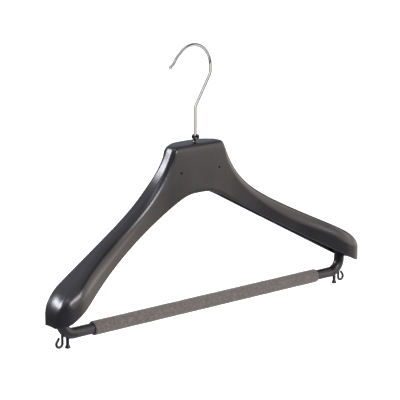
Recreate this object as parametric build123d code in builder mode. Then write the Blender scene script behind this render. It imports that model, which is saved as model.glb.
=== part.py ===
from build123d import *
import os
from math import cos, exp, hypot, log, radians, sin, sqrt, tan

# Contoured trouser hanger with a swivel hook and a foam-sleeved trouser bar.
# The hanger hangs from its hook. The origin is the point inside the hook's arc that rests on
# the rail, plumb above the hook's stem. +Z is up, +X runs along the shoulders and -Y is the
# front, towards which both arms curve. All lengths are in millimetres.

# Whole hanger
hanger_width = 444.0
head_drop = 108.0
wall = 2.2
running_fit = 0.05
push_fit = 0.05
overrun = 12.0

# Shell, as seen from the front
head_half = 36.4
neck_softness = 2.0
neck_flare_height = 41.6
neck_flare_length = 18.6
shoulder_angle = 26.9
end_crown_radius = 22.0
arch_depth = 55.0
arch_softness = 12.1
arch_power = 3.4
arch_angle = 29.5
foot_level_inset = 13.2
foot_level_softness = 3.0
foot_level_share = 0.27

# Shell, as seen from above
head_front = 9.0
head_back = 13.7
head_bulge = 6.8
sweep_start = 43.2
sweep_inset = 32.0
sweep_reach = 40.0
sweep_power = 2.1
sweep_sharpness = 16
back_lean_start = 67.0
shoulder_depth = 32.6
back_lean_softness = 8.0
end_front_radius = 17.0
end_back_radius = 6.0

# Rounding of the shell's long edges
front_edge_at_head = 6.6
front_edge_at_shoulder = 15.5
front_edge_at_end = 4.0
front_edge_run = 112.0
back_edge_at_middle = 3.3
back_edge_at_head = 10.5
back_edge_at_shoulder = 3.2
back_edge_at_end = 3.2
back_edge_run = 30.0
edge_fade_length = 22.0
edge_room_share = 0.95

# Ribs, boss, sockets and holes of the shell
rib_thickness = 1.8
rib_recess = 9.0
rib_place_shares = [0.30, 0.46, 0.62, 0.78]
boss_wall = 2.4
boss_length = 15.0
socket_wall = 1.8
socket_mouth_inset = 5.0
badge_hole_spacing = 55.0
badge_hole_diameter = 1.5
badge_hole_drop = 30.0

# Hook
wire_diameter = 3.8
hook_arc_radius = 25.0
hook_arc_offset = 3.0
hook_arc_end_angle = 135.0
hook_side_drop = 5.2
hook_lower_bend_radius = 12.0
hook_stem_bend_radius = 8.0
hook_lean_angle = 31.5
hook_tip_length = 21.0
hook_foot_radius = 3.2
hook_foot_thickness = 2.0

# Split collar that grips the hook
collar_spigot_radius = 3.6
collar_flange_radius = 4.9
collar_flange_thickness = 1.3
collar_neck_radius = 3.1
collar_bead_radius = 4.3
collar_bead_height = 5.2
collar_height = 9.0
collar_slit = 1.1
collar_slit_angle = 45.0
collar_snap_radius = 4.1
collar_snap_height = 1.2

# Washer between the collar and the hook's foot
washer_radius = 4.6
washer_thickness = 1.0
washer_end_play = 0.1

# Trouser bar
bar_gap = 19.48
bar_forward = 25.0
rod_radius = 6.0
rod_bore_radius = 4.4
flute_count = 10
flute_radius = 0.8
flute_depth_share = 0.6

# Foam sleeve on the bar
sleeve_radius = 8.0
sleeve_end_gap = 20.5
sleeve_clearance = 0.3
sleeve_end_rounding = 1.0

# Elbows of the bar, with their loop hooks and loop studs
post_radius = 5.5
post_inset = 17.5
elbow_bend_radius = 17.0
elbow_lead = 2.5
post_top_gap = 8.0
plug_length = 20.0
plug_chamfer = 0.8
loop_wire_radius = 1.0
loop_hook_inset = 0.7
loop_hook_radius = 3.9
loop_hook_drop = 8.6
loop_hook_tip = 4.7
loop_hook_tip_angle = 25.0
stud_inset = 7.5
stud_stem_radius = 1.3
stud_foot_radius = 3.2
stud_foot_height = 3.0
stud_drop = 15.4

half_width = hanger_width / 2
wire_radius = wire_diameter / 2
head_top = -head_drop
post_x = half_width - post_inset
rod_half_length = post_x - elbow_bend_radius - elbow_lead
sleeve_half_length = rod_half_length - sleeve_end_gap
bar_y = -bar_forward


def soft_step(share):
    """Rises smoothly from nought to one as the share does."""
    held = min(max(share, 0.0), 1.0)
    return held * held * (3 - 2 * held)


def round_off(past, radius):
    """How far a quarter circle has curved away after running this far past its start."""
    held = min(max(past, 0.0), radius)
    return radius - sqrt(radius**2 - held**2)


def neck_run(x):
    """Distance past the head's side, with a soft start that rounds the head's upper corner."""
    return neck_softness * log(1 + exp((x - head_half) / neck_softness))


def shoulder_line(x):
    """Top of the shell: flat on the head, an exponential flare down the neck, then a slope."""
    run = neck_run(x)
    flare = neck_flare_height * (1 - exp(-run / neck_flare_length))
    return head_top - tan(radians(shoulder_angle)) * run - flare


def shoulder_steepness(x):
    """Length of the shoulder line for each unit of run, which stretches walls and rounding."""
    flare = neck_flare_height / neck_flare_length * exp(-neck_run(x) / neck_flare_length)
    started = 1 / (1 + exp((head_half - x) / neck_softness))
    return hypot(1, started * (tan(radians(shoulder_angle)) + flare))


def arch_line(x):
    """Lower edge of both walls: level under the head, sloped along the arm, flatter at the end."""
    past = (x - half_width + foot_level_inset) / foot_level_softness
    levelled = x - foot_level_share * foot_level_softness * log(1 + exp(past))
    sloped = tan(radians(arch_angle)) * max(levelled, 0.0)
    arch = (sloped**arch_power + arch_softness**arch_power) ** (1 / arch_power)
    return head_top - arch_depth + arch_softness - arch


def front_line(x):
    """Front wall in plan: straight on the head, then swept forward and levelled off."""
    share = max(x - sweep_start, 0.0) / (half_width - sweep_inset - sweep_start)
    limit = (1 + share ** (sweep_power * sweep_sharpness)) ** (1 / sweep_sharpness)
    swept = share**sweep_power / limit
    return -head_front - sweep_reach * swept


def back_line(x):
    """Back wall in plan: bulged behind the head, then leaning forward along the arm."""
    bulge = head_bulge * max(1 - (x / head_half) ** 2, 0.0)
    past = (x - back_lean_start) / back_lean_softness
    lean_reach = head_back + head_front + sweep_reach - shoulder_depth
    lean = lean_reach / (half_width - back_lean_start) * back_lean_softness * log(1 + exp(past))
    return head_back + bulge - lean


def faded_edge(x, radius, at_end):
    """Radius of a long edge at x, led over to its value at the arm's end."""
    return radius + (at_end - radius) * soft_step((x - half_width + edge_fade_length) / edge_fade_length)


def front_edge(x):
    """Radius of the front edge: small on the head, wide on the shoulder."""
    share = soft_step((x - head_half) / front_edge_run)
    radius = front_edge_at_head + (front_edge_at_shoulder - front_edge_at_head) * share
    return faded_edge(x, radius, front_edge_at_end)


def back_edge(x):
    """Radius of the back edge: crisp behind the hook, wide at the head's side, crisp on the arm."""
    share = soft_step((2 * x - head_half) / head_half)
    radius = back_edge_at_middle + (back_edge_at_head - back_edge_at_middle) * share
    share = soft_step((x - head_half) / back_edge_run)
    radius = radius + (back_edge_at_shoulder - radius) * share
    return faded_edge(x, radius, back_edge_at_end)


def draw_section(x, inset, floor_drop):
    """Draws the arm's section at x, moved inwards by the inset and lowered at its foot."""
    past_front = x - half_width + end_front_radius
    past_back = x - half_width + end_back_radius
    past_crown = x - half_width + end_crown_radius
    front = front_line(x) + inset + round_off(past_front, end_front_radius - inset)
    back = back_line(x) - inset - round_off(past_back, end_back_radius - inset)
    top = shoulder_line(x) - inset * shoulder_steepness(x)
    top = top - round_off(past_crown, end_crown_radius - inset)
    foot = arch_line(x) - floor_drop
    room_across = edge_room_share * (back - front)
    room_below = edge_room_share * (top - foot)
    back_round = min(back_edge(x) - inset, room_across / 2)
    front_round = min(front_edge(x) - inset, room_across - back_round)
    front_fall = min(front_round * shoulder_steepness(x), room_below)
    back_fall = min(back_round * shoulder_steepness(x), room_below)
    Line((front, foot), (front, top - front_fall))
    EllipticalCenterArc(
        (front + front_round, top - front_fall), front_round, front_fall, 180, arc_size=-90
    )
    Line((front + front_round, top), (back - back_round, top))
    EllipticalCenterArc(
        (back - back_round, top - back_fall), back_round, back_fall, 90, arc_size=-90
    )
    Line((back, top - back_fall), (back, foot))
    Line((back, foot), (front, foot))


def arm_stations(inset):
    """Places along an arm at which its section is drawn, closer where the shape turns fast."""
    head_shares = [0.0, 0.25, 0.45, 0.62, 0.75, 0.86, 0.93, 0.98]
    neck_shares = [0.03, 0.09, 0.18, 0.32, 0.5, 0.8, 1.2, 1.7, 2.4]
    arm_shares = [0.15, 0.30, 0.45, 0.60, 0.72, 0.82, 0.90, 1.0]
    end_angles = [14.0, 27.0, 40.0, 52.0, 63.0, 73.0, 82.0, 90.0]
    arm_start = head_half + neck_flare_length * neck_shares[-1]
    arm_end = half_width - end_crown_radius
    places = [head_half * share for share in head_shares]
    places += [head_half + neck_flare_length * share for share in neck_shares]
    places += [arm_start + (arm_end - arm_start) * share for share in arm_shares]
    places += [arm_end + (end_crown_radius - inset) * sin(radians(angle)) for angle in end_angles]
    return places


# The bar's axis keeps a named gap below the arms' lower edge at the posts
bar_z = arch_line(post_x) - bar_gap

# Outer form of one arm with half of the head
with BuildPart() as outer_arm:
    for place in arm_stations(0.0):
        with BuildSketch(Plane.YZ.offset(place)):
            with BuildLine():
                draw_section(place, 0.0, 0.0)
            make_face()
    loft(ruled=True)

# Hollow of one arm, open below
with BuildPart() as arm_hollow:
    for place in arm_stations(wall):
        with BuildSketch(Plane.YZ.offset(place)):
            with BuildLine():
                draw_section(place, wall, overrun)
            make_face()
    loft(ruled=True)

# Socket inside the shoulder end that takes the elbow's post
socket_top = shoulder_line(post_x) - wall
socket_mouth = arch_line(post_x) + socket_mouth_inset
with BuildPart() as post_socket:
    with BuildSketch(Plane.XY.offset(socket_mouth)):
        with Locations((post_x, bar_y)):
            Circle(post_radius + push_fit + socket_wall)
    extrude(amount=socket_top - socket_mouth + overrun)
    add(outer_arm.part, mode=Mode.INTERSECT)

# Hanger shell: both arms, their ribs, the sockets, the hook's boss and two holes for a badge
post_top = socket_top - post_top_gap
boss_floor = head_top - boss_length
boss_radius = collar_spigot_radius + push_fit + boss_wall
with BuildPart() as hanger_shell:
    add(outer_arm.part)
    add(arm_hollow.part, mode=Mode.SUBTRACT)
    for share in rib_place_shares:
        rib_place = half_width * share
        with BuildSketch(Plane.YZ.offset(rib_place)):
            with BuildLine():
                draw_section(rib_place, wall / 2, -rib_recess)
            make_face()
        extrude(amount=rib_thickness)
    add(post_socket.part)
    with BuildSketch(Plane.XY.offset(post_top)):
        with Locations((post_x, bar_y)):
            Circle(post_radius + push_fit)
    extrude(amount=socket_mouth - post_top - overrun, mode=Mode.SUBTRACT)
    mirror(about=Plane.YZ)
    with BuildSketch(Plane.XY.offset(head_top - wall / 2)):
        Circle(boss_radius)
    extrude(amount=wall / 2 - boss_length)
    with BuildSketch(Plane.XY.offset(head_top + overrun)):
        Circle(collar_spigot_radius + push_fit)
    extrude(amount=-overrun - boss_length - overrun, mode=Mode.SUBTRACT)
    with BuildSketch(Plane.XZ.offset(head_front)):
        with Locations((0, head_top - badge_hole_drop)):
            with GridLocations(badge_hole_spacing, 0, 2, 1):
                Circle(badge_hole_diameter / 2)
    extrude(amount=-2 * wall, mode=Mode.SUBTRACT)
hanger_shell.part.label = "hanger_shell"

# Split collar: a flange on the head, a spigot snapped through the boss and four beaded fingers
collar_floor = boss_floor - collar_snap_height
collar_bead_start = collar_height - collar_bead_height
bead_round = collar_bead_radius - collar_neck_radius
bead_crown = (collar_bead_radius - wire_radius - running_fit) / 2
with BuildPart() as hook_collar:
    with BuildSketch(Plane.XZ):
        with BuildLine():
            bore = wire_radius + running_fit
            floor_z = collar_floor - head_top
            Polyline(
                (bore, floor_z),
                (collar_spigot_radius, floor_z),
                (collar_snap_radius, floor_z + collar_snap_height / 2),
                (collar_snap_radius, -boss_length),
                (collar_spigot_radius, -boss_length),
                (collar_spigot_radius, 0),
                (collar_flange_radius, 0),
                (collar_flange_radius, collar_flange_thickness),
                (collar_neck_radius, collar_flange_thickness),
                (collar_neck_radius, collar_bead_start),
                (collar_bead_radius, collar_bead_start + bead_round),
                (collar_bead_radius, collar_height - bead_crown),
            )
            ThreePointArc(
                (collar_bead_radius, collar_height - bead_crown),
                (collar_bead_radius - bead_crown, collar_height),
                (bore, collar_height - bead_crown),
            )
            Line((bore, collar_height - bead_crown), (bore, floor_z))
        make_face()
    revolve(axis=Axis.Z)
    with BuildSketch(Plane.XY.offset(collar_flange_thickness)):
        with Locations((0, 0)):
            Rectangle(3 * collar_bead_radius, collar_slit, rotation=collar_slit_angle)
            Rectangle(3 * collar_bead_radius, collar_slit, rotation=collar_slit_angle + 90)
    extrude(amount=collar_height + overrun, mode=Mode.SUBTRACT)
hook_collar_placed = hook_collar.part.moved(Location((0, 0, head_top)))
hook_collar_placed.label = "hook_collar"

# Swivel hook: one bent wire with an upset foot that the collar holds down
arc_inner_radius = hook_arc_radius - wire_radius
arc_centre = (-hook_arc_offset, -sqrt(arc_inner_radius**2 - hook_arc_offset**2))
side_x = arc_centre[0] + hook_arc_radius
side_z = arc_centre[1] - hook_side_drop
lean = radians(hook_lean_angle)
lower_bend_end = (
    side_x - hook_lower_bend_radius * (1 - cos(lean)),
    side_z - hook_lower_bend_radius * sin(lean),
)
stem_corner_z = lower_bend_end[1] - lower_bend_end[0] / tan(lean)
stem_tangent = hook_stem_bend_radius * tan(lean / 2)
foot_top = collar_floor - washer_end_play - washer_thickness
arc_end = radians(hook_arc_end_angle)
arc_end_point = (
    arc_centre[0] + hook_arc_radius * cos(arc_end),
    arc_centre[1] + hook_arc_radius * sin(arc_end),
)
tip_point = (
    arc_end_point[0] - hook_tip_length * sin(arc_end),
    arc_end_point[1] + hook_tip_length * cos(arc_end),
)
with BuildPart() as swivel_hook:
    with BuildLine(Plane.XZ) as hook_path:
        Line((0, foot_top), (0, stem_corner_z - stem_tangent))
        JernArc((0, stem_corner_z - stem_tangent), (0, 1), hook_stem_bend_radius, -hook_lean_angle)
        Line(hook_path.edges().sort_by(Axis.Z)[-1] @ 1, lower_bend_end)
        JernArc(lower_bend_end, (sin(lean), cos(lean)), hook_lower_bend_radius, hook_lean_angle)
        Line((side_x, side_z), (side_x, arc_centre[1]))
        CenterArc(arc_centre, hook_arc_radius, 0, hook_arc_end_angle)
        Line(arc_end_point, tip_point)
    with BuildSketch(Plane.XY.offset(foot_top)):
        Circle(wire_radius)
    sweep(path=hook_path.wires()[0])
    with Locations((tip_point[0], 0, tip_point[1])):
        Sphere(wire_radius)
    with BuildSketch(Plane.XY.offset(foot_top)):
        Circle(hook_foot_radius)
    extrude(amount=-hook_foot_thickness)
    fillet(swivel_hook.faces().sort_by(Axis.Z)[0].edges(), hook_foot_thickness / 3)
swivel_hook.part.label = "swivel_hook"

# Washer that turns with the hook under the collar
with BuildPart() as hook_washer:
    with BuildSketch(Plane.XY.offset(foot_top)):
        Circle(washer_radius)
        Circle(wire_radius + push_fit, mode=Mode.SUBTRACT)
    extrude(amount=washer_thickness)
hook_washer.part.label = "hook_washer"

# Bar rod: a fluted tube between the elbows
with BuildPart() as bar_rod:
    with BuildSketch(Plane(origin=(-rod_half_length, bar_y, bar_z), x_dir=(0, 1, 0), z_dir=(1, 0, 0))):
        Circle(rod_radius)
        Circle(rod_bore_radius, mode=Mode.SUBTRACT)
        with PolarLocations(rod_radius + flute_radius * flute_depth_share, flute_count):
            Circle(flute_radius, mode=Mode.SUBTRACT)
    extrude(amount=2 * rod_half_length)
bar_rod.part.label = "bar_rod"

# Foam sleeve pulled over the rod
with BuildPart() as foam_sleeve:
    sleeve_plane = Plane(
        origin=(-sleeve_half_length, bar_y, bar_z), x_dir=(0, 1, 0), z_dir=(1, 0, 0)
    )
    with BuildSketch(sleeve_plane):
        Circle(sleeve_radius)
    extrude(amount=2 * sleeve_half_length)
    fillet(foam_sleeve.edges().filter_by(GeomType.CIRCLE), sleeve_end_rounding)
    with BuildSketch(sleeve_plane):
        Circle(rod_radius + sleeve_clearance)
    extrude(amount=2 * sleeve_half_length, mode=Mode.SUBTRACT)
foam_sleeve.part.label = "foam_sleeve"

# Right elbow: post, bend, plug, loop hook and loop stud on one plane through the bar
bend_start_z = bar_z + elbow_bend_radius
bend_end_x = post_x - elbow_bend_radius
loop_hook_x = post_x - loop_hook_inset
loop_hook_z = bar_z - loop_hook_drop
stud_x = post_x - stud_inset
stud_floor = bar_z - stud_drop
bar_plane = Plane(origin=(0, bar_y, 0), x_dir=(1, 0, 0), z_dir=(0, -1, 0))
tip_start = (
    loop_hook_x + loop_hook_radius * (1 + cos(radians(loop_hook_tip_angle))),
    loop_hook_z + loop_hook_radius * sin(radians(loop_hook_tip_angle)),
)
tip_end = (
    tip_start[0] - loop_hook_tip * sin(radians(loop_hook_tip_angle)),
    tip_start[1] + loop_hook_tip * cos(radians(loop_hook_tip_angle)),
)
with BuildPart() as right_elbow:
    with BuildLine(bar_plane) as elbow_path:
        Line((post_x, post_top), (post_x, bend_start_z))
        JernArc((post_x, bend_start_z), (0, -1), elbow_bend_radius, -90)
        Line((bend_end_x, bar_z), (rod_half_length, bar_z))
    with BuildSketch(Plane.XY.offset(post_top)):
        with Locations((post_x, bar_y)):
            Circle(post_radius)
    sweep(path=elbow_path.wires()[0])
    with BuildSketch(Plane(origin=(rod_half_length, bar_y, bar_z), x_dir=(0, 1, 0), z_dir=(-1, 0, 0))):
        Circle(rod_bore_radius - push_fit)
    extrude(amount=plug_length)
    chamfer(right_elbow.edges().sort_by(Axis.X)[0], plug_chamfer)
    with BuildLine(bar_plane) as loop_path:
        Line((loop_hook_x, bar_z + post_radius), (loop_hook_x, loop_hook_z))
        CenterArc(
            (loop_hook_x + loop_hook_radius, loop_hook_z),
            loop_hook_radius,
            180,
            180 + loop_hook_tip_angle,
        )
        Line(tip_start, tip_end)
    with BuildSketch(Plane.XY.offset(bar_z + post_radius)):
        with Locations((loop_hook_x, bar_y)):
            Circle(loop_wire_radius)
    sweep(path=loop_path.wires()[0])
    with Locations((tip_end[0], bar_y, tip_end[1])):
        Sphere(loop_wire_radius)
    with BuildSketch(bar_plane):
        with BuildLine():
            Polyline(
                (stud_x, bar_z),
                (stud_x, stud_floor),
                (stud_x + stud_foot_radius, stud_floor),
                (stud_x + stud_foot_radius, stud_floor + stud_foot_height / 3),
                (stud_x + stud_stem_radius, stud_floor + stud_foot_height),
                (stud_x + stud_stem_radius, bar_z),
                (stud_x, bar_z),
            )
        make_face()
    revolve(axis=Axis((stud_x, bar_y, 0), (0, 0, 1)))
right_elbow.part.label = "right_elbow"

# Left elbow: the right one mirrored
with BuildPart() as left_elbow:
    add(right_elbow.part.mirror(Plane.YZ))
left_elbow.part.label = "left_elbow"

os.makedirs("parts", exist_ok=True)
export_step(hanger_shell.part, "parts/hanger_shell.step")
export_step(hook_collar_placed, "parts/hook_collar.step")
export_step(swivel_hook.part, "parts/swivel_hook.step")
export_step(hook_washer.part, "parts/hook_washer.step")
export_step(bar_rod.part, "parts/bar_rod.step")
export_step(foam_sleeve.part, "parts/foam_sleeve.step")
export_step(right_elbow.part, "parts/right_elbow.step")
export_step(left_elbow.part, "parts/left_elbow.step")
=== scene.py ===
"""Looks of the trouser hanger: skin, hook, bar, materials, light and camera, as a Blender add-on."""
from math import cos, pi, radians, sin, tan

import bmesh
import bpy
import numpy as np
from bpy.props import FloatProperty, FloatVectorProperty, IntProperty, PointerProperty
from bpy.types import Operator, Panel, PropertyGroup
from mathutils import Matrix, Vector


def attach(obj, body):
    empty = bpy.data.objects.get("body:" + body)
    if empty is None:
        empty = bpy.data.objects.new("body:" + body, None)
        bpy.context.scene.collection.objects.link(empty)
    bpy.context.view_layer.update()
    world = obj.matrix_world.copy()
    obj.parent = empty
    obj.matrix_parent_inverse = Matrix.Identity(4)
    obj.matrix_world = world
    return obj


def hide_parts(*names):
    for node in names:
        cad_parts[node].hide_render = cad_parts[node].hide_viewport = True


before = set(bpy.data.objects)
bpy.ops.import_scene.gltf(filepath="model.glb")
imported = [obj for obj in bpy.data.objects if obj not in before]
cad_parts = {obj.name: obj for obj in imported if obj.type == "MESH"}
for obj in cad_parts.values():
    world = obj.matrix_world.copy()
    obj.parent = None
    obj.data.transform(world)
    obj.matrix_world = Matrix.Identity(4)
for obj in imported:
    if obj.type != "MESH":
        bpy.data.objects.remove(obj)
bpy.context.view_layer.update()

bl_info = {
    "name": "Trouser hanger",
    "version": (1, 0, 0),
    "blender": (4, 5, 0),
    "location": "3D View > Sidebar > Hanger",
    "description": "Builds the visible pieces of a contoured trouser hanger",
    "category": "Object",
}

MERGE = 1e-6  # points closer than this, in metres, are one point
POLE = 1e-7  # radius at which a turned profile closes on its axis
SIDES = ((-1, "left"), (1, "right"))


def linear(code):
    """Turns an sRGB hex code into linear RGBA."""
    parts = [int(code[i:i + 2], 16) / 255 for i in (1, 3, 5)]
    return tuple(c / 12.92 if c <= 0.04045 else ((c + 0.055) / 1.055) ** 2.4 for c in parts) + (1.0,)


def length(name, description, default):
    """A length in metres."""
    return FloatProperty(
        name=name, description=description, default=default,
        unit="LENGTH", subtype="DISTANCE", precision=5,
    )


def lengths(name, description, default):
    """Three lengths in metres."""
    return FloatVectorProperty(
        name=name, description=description, default=default, unit="LENGTH", precision=5
    )


def angle(name, description, degrees):
    """An angle, given in degrees."""
    return FloatProperty(
        name=name, description=description, default=radians(degrees),
        unit="ROTATION", subtype="ANGLE",
    )


def amount(name, description, default, unit="NONE"):
    """A plain number, or one with a unit."""
    return FloatProperty(
        name=name, description=description, default=default, unit=unit, precision=4
    )


def shade(name, description, code):
    """A colour, given as an sRGB hex code and kept linear."""
    return FloatVectorProperty(
        name=name, description=description, default=linear(code), size=4, min=0, max=1,
        subtype="COLOR",
    )


class ShellSettings(PropertyGroup):
    """Sizes of the hollow shoulders."""

    half_width: length("Half width", "Middle to the end of an arm", 0.222)
    head_top: length("Head top", "Height of the head's top below the rail", -0.108)
    wall: length("Wall", "Thickness of the moulding", 0.0022)
    head_half: length("Head half width", "Half of the flat top of the head", 0.0364)
    neck_soft: length("Neck softness", "Rounding of the head's upper corner", 0.0013)
    flare_height: length("Flare height", "Height of the neck's flare", 0.0416)
    flare_length: length("Flare length", "Length over which the flare fades", 0.0186)
    shoulder_slope: angle("Shoulder slope", "Slope of the arms", 26.9)
    crown: length("Crown radius", "Rounding of the arm's end seen from the front", 0.022)
    arch_depth: length("Arch depth", "Head top to the arch's crown", 0.0550)
    arch_soft: length("Arch softness", "Rounding of the arch's crown", 0.0121)
    arch_power: amount("Arch power", "How level the arch stays under the head", 3.4)
    arch_slope: angle("Arch slope", "Slope of the lower edge", 29.5)
    level_inset: length("Level inset", "Where the lower edge flattens, from the end", 0.0132)
    level_soft: length("Level softness", "Softness of that change of slope", 0.0030)
    level_share: amount("Level share", "How much of the slope goes there", 0.27)
    end_lift: length("End lift", "How far the lower edge turns up at the end", 0.0017)
    end_lift_run: length("End lift run", "Length over which it turns up", 0.018)
    dome: length("Dome", "How much the top domes across at the arm's end", 0.0015)
    dome_run: length("Dome run", "Length over which the dome grows", 0.050)
    dome_sink: amount("Dome sink", "Share of the dome by which its sides sink", 0.35)
    end_corner: length("End corner", "Rounding of the lower corner at the arm's end", 0.0014)
    front: length("Front", "Head front from the middle plane", 0.0090)
    back: length("Back", "Head's sides at the back, from the middle plane", 0.0137)
    bulge: length("Bulge", "Bulge of the head's back", 0.0068)
    sweep_start: length("Sweep start", "Where the front starts to sweep forward", 0.0432)
    sweep_inset: length("Sweep inset", "Where the sweep levels off, from the end", 0.0320)
    sweep_reach: length("Sweep reach", "How far the front sweeps forward", 0.0400)
    sweep_power: amount("Sweep power", "How late the sweep comes", 2.1)
    sweep_sharp: amount("Sweep sharpness", "How sharply the sweep levels off", 16.0)
    lean_start: length("Lean start", "Where the back starts to lean forward", 0.0670)
    lean: angle("Lean", "Angle of the back", 11.0)
    lean_soft: length("Lean softness", "Softness of the start of the lean", 0.008)
    front_plan: length("Front plan radius", "Front rounding of the end seen from above", 0.0170)
    back_plan: length("Back plan radius", "Back rounding of the end seen from above", 0.0060)
    front_edges: lengths(
        "Front edge radii", "Front edge radius at head, shoulder and end", (0.0066, 0.0155, 0.0040)
    )
    back_edges: lengths(
        "Back edge radii", "Back edge radius behind the hook, at the head's side, along the arm",
        (0.0033, 0.0105, 0.0032),
    )
    front_growth: length("Front edge growth", "Run over which the front edge grows", 0.112)
    back_growth: length("Back edge growth", "Run over which the back edge sharpens", 0.030)
    edge_fade: length("Edge fade", "Run over which the edges fade at the end", 0.022)
    lip: length("Lip", "Rounding of the rim of the open underside", 0.0006)
    hole: length("Badge hole radius", "Radius of each hole for a badge", 0.00125)
    hole_spacing: length("Badge hole spacing", "Distance between the two holes", 0.055)
    hole_drop: length("Badge hole drop", "Holes below the head top", 0.030)
    boss_hole: length("Hook hole radius", "Radius of the hole for the collar", 0.00365)
    boss: length("Boss radius", "Radius of the boss under the head", 0.00605)
    boss_length: length("Boss length", "Length of the boss", 0.015)
    rib: length("Rib thickness", "Thickness of each inner rib", 0.0018)
    rib_recess: length("Rib recess", "Ribs above the lower edge", 0.009)
    socket: length("Socket radius", "Outer radius of each post socket", 0.00735)
    socket_inset: length("Socket inset", "Socket mouth above the lower edge", 0.005)
    stations: IntProperty(name="Stations", description="Sections on a straight arm", default=90)


class HookSettings(PropertyGroup):
    """Sizes of the swivel hook and its collar."""

    wire: length("Wire radius", "Radius of the hook's wire", 0.0019)
    arc: length("Arc radius", "Radius of the hook's arc on its centre line", 0.025)
    offset: length("Arc offset", "How far the arc's centre is off the stem", 0.003)
    arc_end: angle("Arc end", "Where the arc ends, from the right", 135.0)
    side_drop: length("Side drop", "Straight side below the arc", 0.0052)
    lower_bend: length("Lower bend radius", "Radius of the lower bend", 0.012)
    stem_bend: length("Stem bend radius", "Radius of the bend on the stem", 0.008)
    lean: angle("Lean", "Slant of the wire between its bends", 31.5)
    tip: length("Tip length", "Straight tip after the arc", 0.021)
    tip_bow: length("Tip bow", "How far the tip bows in before it turns out", 0.0013)
    foot: length("Foot radius", "Radius of the upset foot", 0.0032)
    foot_top: length("Foot top", "Height of the foot's upper face", -0.1253)
    foot_height: length("Foot height", "Height of the foot", 0.0020)
    foot_edge: length("Foot edge", "Bevel round the foot", 0.0006)
    flange: length("Flange radius", "Radius of the collar's flange", 0.0039)
    collar_bore: length("Collar bore", "Radius of the hole through the collar", 0.00195)
    waist: length("Waist", "Radius of the collar under its beads", 0.0027)
    spigot: length("Spigot radius", "Radius of the collar inside the head", 0.0036)
    snap: length("Snap radius", "Radius of the collar's rim under the boss", 0.0041)
    snap_height: length("Snap height", "Height of that rim", 0.0012)
    bead: length("Bead radius", "Radius of each of the two beads", 0.0024)
    bead_rise: length("Bead rise", "Half of the height of each bead", 0.0029)
    bead_place: length("Bead place", "Centre of each bead from the hook's axis", 0.0021)
    collar_height: length("Collar height", "Height of the collar above the head", 0.0097)


class BarSettings(PropertyGroup):
    """Sizes of the trouser bar."""

    y: length("Bar Y", "Bar axis in front of the hook", -0.025)
    z: length("Bar Z", "Height of the bar axis", -0.286)
    rod: length("Rod radius", "Radius of the rod", 0.006)
    rod_half: length("Rod half length", "Half of the rod's length", 0.188)
    flutes: IntProperty(name="Flutes", description="Grooves around the rod", default=10)
    flute: length("Flute depth", "Depth of each groove", 0.0003)
    sleeve: length("Sleeve radius", "Radius of the foam sleeve", 0.008)
    sleeve_bore: length("Sleeve bore", "Inner radius of the foam sleeve", 0.0068)
    sleeve_half: length("Sleeve half length", "Half of the sleeve's length", 0.1645)
    sleeve_edge: length("Sleeve edge", "Rounding of the sleeve's ends", 0.0011)
    post: length("Post radius", "Radius of the elbows", 0.0055)
    post_x: length("Post X", "Post from the middle plane", 0.2045)
    post_top: length("Post top", "Height of the post's top", -0.2451)
    swell: length("Elbow swell", "How much thicker the elbow is below its socket", 0.0006)
    bend: length("Bend radius", "Radius of the elbow on its centre line", 0.0150)
    loop_wire: length("Loop hook wire", "Radius of the loop hook's stroke", 0.00145)
    loop_radius: length("Loop hook radius", "Radius of the loop hook's curl", 0.0039)
    loop_inset: length("Loop hook inset", "Loop hook from the post's axis", 0.0007)
    loop_drop: length("Loop hook drop", "Centre of the curl below the bar", 0.0086)
    loop_tip: length("Loop hook tip", "Length of the tip", 0.0042)
    loop_lean: angle("Loop hook lean", "Inward lean of the tip", 35.0)
    stud_inset: length("Stud inset", "Stud from the post's axis", 0.0075)
    stud: length("Stud radius", "Radius of the stud's stem", 0.0019)
    stud_foot: length("Stud foot radius", "Radius of the stud's foot", 0.0032)
    stud_drop: length("Stud drop", "Lowest point of the stud below the bar", 0.0154)
    stud_height: length("Stud foot height", "Height of the stud's foot", 0.0030)


class FinishSettings(PropertyGroup):
    """Colours of the finishes. A pair holds the darker and the lighter shade of one plastic."""

    shell_dark: shade("Shell, dark", "Shell's plastic, darker shade", "#222123")
    shell_light: shade("Shell, light", "Shell's plastic, lighter shade", "#28272a")
    rib_dark: shade("Ribs, dark", "Inside of the shell, darker shade", "#2a2727")
    rib_light: shade("Ribs, light", "Inside of the shell, lighter shade", "#312e2d")
    elbow_dark: shade("Elbows, dark", "Elbows' plastic, darker shade", "#131214")
    elbow_light: shade("Elbows, light", "Elbows' plastic, lighter shade", "#1a191b")
    collar_dark: shade("Collar, dark", "Collar's plastic, darker shade", "#08080a")
    collar_light: shade("Collar, light", "Collar's plastic, lighter shade", "#0d0d10")
    rod_dark: shade("Rod, dark", "Rod's plastic between its streaks", "#1a191b")
    rod_light: shade("Rod, light", "Streaks along the rod", "#343235")
    washer_dark: shade("Washer, dark", "Washer's skin, darker shade", "#8a8a8c")
    washer_light: shade("Washer, light", "Washer's skin, lighter shade", "#9a9a9c")
    foam_dark: shade("Foam, dark", "Darkest patches of the foam", "#524c49")
    foam_middle: shade("Foam, middle", "Most of the foam", "#655f5b")
    foam_light: shade("Foam, light", "Palest patches of the foam", "#7d7671")
    chrome: shade("Chrome", "Plating of the hook", "#dfdcd8")


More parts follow.
